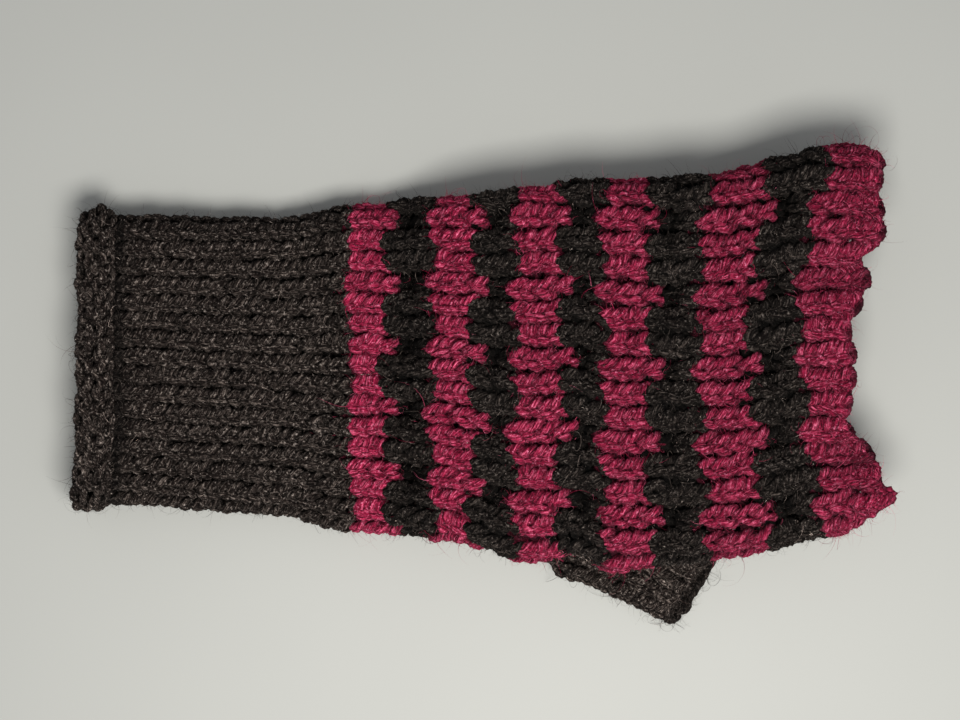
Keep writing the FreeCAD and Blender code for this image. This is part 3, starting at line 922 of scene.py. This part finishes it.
def split_at_hole(path, hole):
    """The stretches of a closed path that stay outside the thumb hole, as (indices, closed)."""
    every = np.arange(len(path))
    if not hole:
        return [(every, True)]
    away = np.linalg.norm(path[:, :2] - PIVOT[:2], axis=1)
    inside = (away < THUMB_HOLE + HOLE_ROOM) & (path[:, 2] < PIVOT[2] + HOLE_CEILING)
    if not inside.any():
        return [(every, True)]
    start = int(np.nonzero(inside)[0][0])
    turned = np.roll(every, -start)
    keep = ~inside[turned]
    edges = np.flatnonzero(np.diff(np.concatenate(([False], keep, [False])).astype(int)))
    runs = [turned[a:b] for a, b in zip(edges[::2], edges[1::2]) if b - a > SHORTEST_RUN]
    return [(run, False) for run in runs]


def ride_on(piece, mover):
    """Fixes a piece to one body, or, when the mover is a tuple, bakes its place into its mesh."""
    if isinstance(mover, str):
        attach(piece, mover)
    else:
        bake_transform(piece)


def finish_part(name, skein, material, node, mover, fuzz=None, loose=0):
    """Makes the yarn piece and its fibres. Fuzz is how many short fibres stand out of it and their mean
    length, and loose is how many loose ones do."""
    glints = CHARCOAL_GLINTS if material is CHARCOAL else RASPBERRY_GLINTS
    ride_on(show(name, skein.mesh(name), material, [node]), mover)
    if fuzz:
        fibres = skein.fibres_out(name, FUZZ, *fuzz, glints, seed=len(name))
        ride_on(show(name + "_fuzz", fibres, material, []), mover)
    if loose:
        fibres = skein.fibres_out(name, LOOSE, loose, LOOSE_LENGTH, glints, seed=500 + len(name))
        ride_on(show(name + "_loose_fibres", fibres, material, []), mover)


# The course coordinates of the chains at the brim and at both ends of the thumb, and how many courses
# the chains of the finger edge lie below the first of them.
CAST_ON_ROW = -BRIM_COURSES - 0.2
FINGER_CHAINS = (0, 0.6, 1.3)
THUMB_END_ROW = THUMB_COURSES - 0.15
PICKED_UP_ROW = -0.3
# The thumb's mover runs from the hand to the thumb over this far either side of its pivot.
THUMB_BLEND = 12
# The carried strands: how far apart their samples are, how many lie between two bends, how much they
# sway sideways, what share of that they rise, and how far above the lower layer's middle they lie.
STRAND_STEP = 0.5
STRAND_BEND = 20
STRAND_SWAY = 0.25
STRAND_RISE = 0.4
STRAND_LIFT = 1.0


def make_cuff():
    brim = knit(
        cuff_surface, range(-BRIM_COURSES, 0), WALES, BRIM_GAUGE, seed=1000, purl=True, shade=CUFF_SHADE
    )
    finish_part(
        "cuff_rolled_brim_courses", brim, CHARCOAL, "cuff_rolled_brim", "cuff",
        fuzz=(5500, 1.7), loose=360,
    )
    edge = knit(cuff_surface, [CAST_ON_ROW], WALES, BRIM_GAUGE, seed=1050, kind="chain", purl=True)
    finish_part("cast_on_chain", edge, CHARCOAL, "cast_on_edge", "cuff")
    fixed = CUFF_COURSES - WRIST_COURSES
    for number, rows in enumerate(np.array_split(np.arange(fixed), 3)):
        skein = knit(
            cuff_surface, rows, WALES, CUFF_GAUGE, seed=1100 + int(rows[0]), hollows=cuff_roll_shadow,
            shade=CUFF_SHADE, inner=INNER_LIGHT if number else OPEN_LIGHT / 4,
        )
        finish_part(f"cuff_courses_{number + 1}", skein, CHARCOAL, "cuff_tube", "cuff", fuzz=(5500, 1.7))
    rows = range(fixed, CUFF_COURSES)
    wrist = knit(cuff_surface, rows, WALES, CUFF_GAUGE, seed=1200, shade=CUFF_SHADE)
    low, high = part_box("cuff_wrist_rows")
    middle = (low + high) / 2
    mover = ("cuff", "hand", (low.x, middle.y, middle.z), (high.x, middle.y, middle.z))
    finish_part("cuff_wrist_courses", wrist, CHARCOAL, "cuff_wrist_rows", mover, fuzz=(5000, 1.4))


def make_hand():
    spikes = tuple(range(0, WALES, REPEAT))
    with_hole = ("charcoal_band_2", "raspberry_band_3", "charcoal_band_3", "raspberry_band_4")
    for index, node in enumerate(BANDS):
        first, after = BAND_STARTS[index], BAND_STARTS[index + 1]
        is_last = index == len(BANDS) - 1
        if index % 2:
            material, shade = CHARCOAL, CHARCOAL_SHADE
            specials = {first + row: ((), spikes) for row in range(SLIPPED_COURSES)}
        else:
            material, shade = RASPBERRY, RASPBERRY_SHADE - RASPBERRY_FADE * index
            specials = {} if is_last else {after - 1: (spikes, ())}
        skein = knit(
            hand_surface, range(first, after), WALES, FINGER_GAUGE if is_last else HAND_GAUGE,
            seed=2000 + 50 * index, hole=node in with_hole, specials=specials, hollows=hand_hollow,
            shade=shade,
        )
        courses = node.replace("band", "courses")
        finish_part(courses, skein, material, node, "hand", fuzz=(5500, 1.6), loose=220)
    rows = [BAND_STARTS[-1] - 0.5 - below for below in FINGER_CHAINS]
    edge = knit(hand_surface, rows, WALES, CHAIN_GAUGE, seed=2900, kind="chain", inner=EDGE_LIGHT)
    finish_part(
        "finger_cast_off_chain", edge, RASPBERRY, "finger_cast_off_edge", "hand",
        fuzz=(4000, 2.4), loose=640,
    )


def make_thumb():
    back = PIVOT[:2] - THUMB_BLEND * THUMB_DIRECTION
    ahead = PIVOT[:2] + THUMB_BLEND * THUMB_DIRECTION
    height = float(PIVOT[2])
    mover = ("hand", "thumb", (*(back * MM), height * MM), (*(ahead * MM), height * MM))
    skein = knit(
        thumb_surface, range(THUMB_COURSES), THUMB_WALES, THUMB_GAUGE, seed=3000, shade=THUMB_SHADE,
        inner=OPEN_LIGHT,
    )
    finish_part("thumb_courses", skein, CHARCOAL, "thumb_tube", mover, fuzz=(6000, 1.7), loose=420)
    edge = knit(
        thumb_surface, [THUMB_END_ROW], THUMB_WALES, THUMB_EDGE_GAUGE, seed=3050, kind="chain",
        inner=EDGE_LIGHT,
    )
    finish_part(
        "thumb_cast_off_chain", edge, CHARCOAL, "thumb_cast_off_edge", "thumb",
        fuzz=(800, 0.8), loose=240,
    )
    ring = knit(thumb_surface, [PICKED_UP_ROW], THUMB_WALES, CHAIN_GAUGE, seed=3080, kind="chain")
    finish_part("thumb_picked_up_chain", ring, CHARCOAL, "thumb_picked_up_edge", "hand")


def middle_line(node):
    """The middle of a CAD piece at each place along X where it has an outline of its own."""
    points = cad_points(node)
    places = np.unique(np.round(points[:, 0], 1))
    return np.array([points_at(points, place, within=0.1).mean(0) for place in places])


def make_strand(node, material, seed):
    """A yarn carried along inside the mitt, on its lower layer, from one band to the next."""
    line = middle_line(node)
    x = np.arange(line[0, 0] + 1, line[-1, 0] - 1, STRAND_STEP)
    bends = x[::STRAND_BEND]
    sway = np.interp(x, bends, np.random.default_rng(seed).normal(0, STRAND_SWAY, len(bends)))
    y = np.interp(x, line[:, 0], line[:, 1]) + sway
    z = np.interp(x, line[:, 0], line[:, 2]) + UNDER_RISE + STRAND_LIFT + STRAND_RISE * sway
    up = np.tile([0.0, 0.0, 1.0], (len(x), 1))
    ones = np.ones(len(x))
    skein = Skein()
    skein.add(np.stack([x, y, z], -1), up, thickness=ones, light=ones, closed=False, tone=0.5)
    finish_part(node.replace("strand", "yarn"), skein, material, node, "hand")


make_cuff()
make_hand()
make_thumb()
make_strand("raspberry_carried_strand", RASPBERRY, 51)
make_strand("charcoal_carried_strand", CHARCOAL, 52)


# ---------------------------------------------------------------------------------------------------
# Table, light and camera


def make_table():
    """A plain pale table top, 3 m square, with faint clouds in its paint."""
    top = bpy.data.meshes.new("table")
    half = 1.5
    corners = [(-half, -half, 0), (half, -half, 0), (half, half, 0), (-half, half, 0)]
    top.from_pydata(corners, [], [(0, 1, 2, 3)])
    floor = bpy.data.objects.new("table", top)
    bpy.context.scene.collection.objects.link(floor)
    paint = bpy.data.materials.new("table_paint")
    paint.use_nodes = True
    tree = paint.node_tree
    shader = tree.nodes["Principled BSDF"]
    place = tree.nodes.new("ShaderNodeTexCoord")
    clouds = tree.nodes.new("ShaderNodeTexNoise")
    clouds.inputs["Scale"].default_value = 9.0
    clouds.inputs["Detail"].default_value = 2.0
    link(tree, place.outputs["Object"], clouds.inputs["Vector"])
    tint = tree.nodes.new("ShaderNodeMix")
    tint.data_type = "RGBA"
    tint.inputs["A"].default_value = (0.36, 0.362, 0.344, 1)
    tint.inputs["B"].default_value = (0.40, 0.402, 0.382, 1)
    link(tree, clouds.outputs["Fac"], tint.inputs["Factor"])
    link(tree, tint.outputs["Result"], shader.inputs["Base Color"])
    shader.inputs["Roughness"].default_value = 0.6
    top.materials.append(paint)


def make_light():
    """An even, pale room with one soft lamp over the thumb side, towards the fingers."""
    world = bpy.data.worlds.new("studio")
    world.use_nodes = True
    world.node_tree.nodes["Background"].inputs["Color"].default_value = (0.95, 0.97, 1.0, 1)
    world.node_tree.nodes["Background"].inputs["Strength"].default_value = 0.42
    bpy.context.scene.world = world

    key = bpy.data.lights.new("key", "AREA")
    key.energy = 2.95
    key.shape = "RECTANGLE"
    key.size = 0.24
    key.size_y = 0.18
    key.color = (1.0, 0.985, 0.94)
    lamp = bpy.data.objects.new("key", key)
    lamp.location = (0.05, -0.17, 0.46)
    lamp.rotation_euler = (Vector((0, 0, 0)) - lamp.location).to_track_quat("-Z", "Y").to_euler()
    bpy.context.scene.collection.objects.link(lamp)


def make_camera():
    """Looks straight down at the mitt, with the brim to the left."""
    camera = bpy.data.cameras.new("camera")
    camera.sensor_width = 36
    camera.lens = 85
    eye = bpy.data.objects.new("camera", camera)
    view_width = 0.240
    mitt_middle = 0.012
    height = view_width * camera.lens / camera.sensor_width
    eye.location = (0.0014, 0.0061, height + mitt_middle)
    bpy.context.scene.collection.objects.link(eye)
    bpy.context.scene.camera = eye
    bpy.context.scene.view_settings.view_transform = "Standard"


make_table()
make_light()
make_camera()
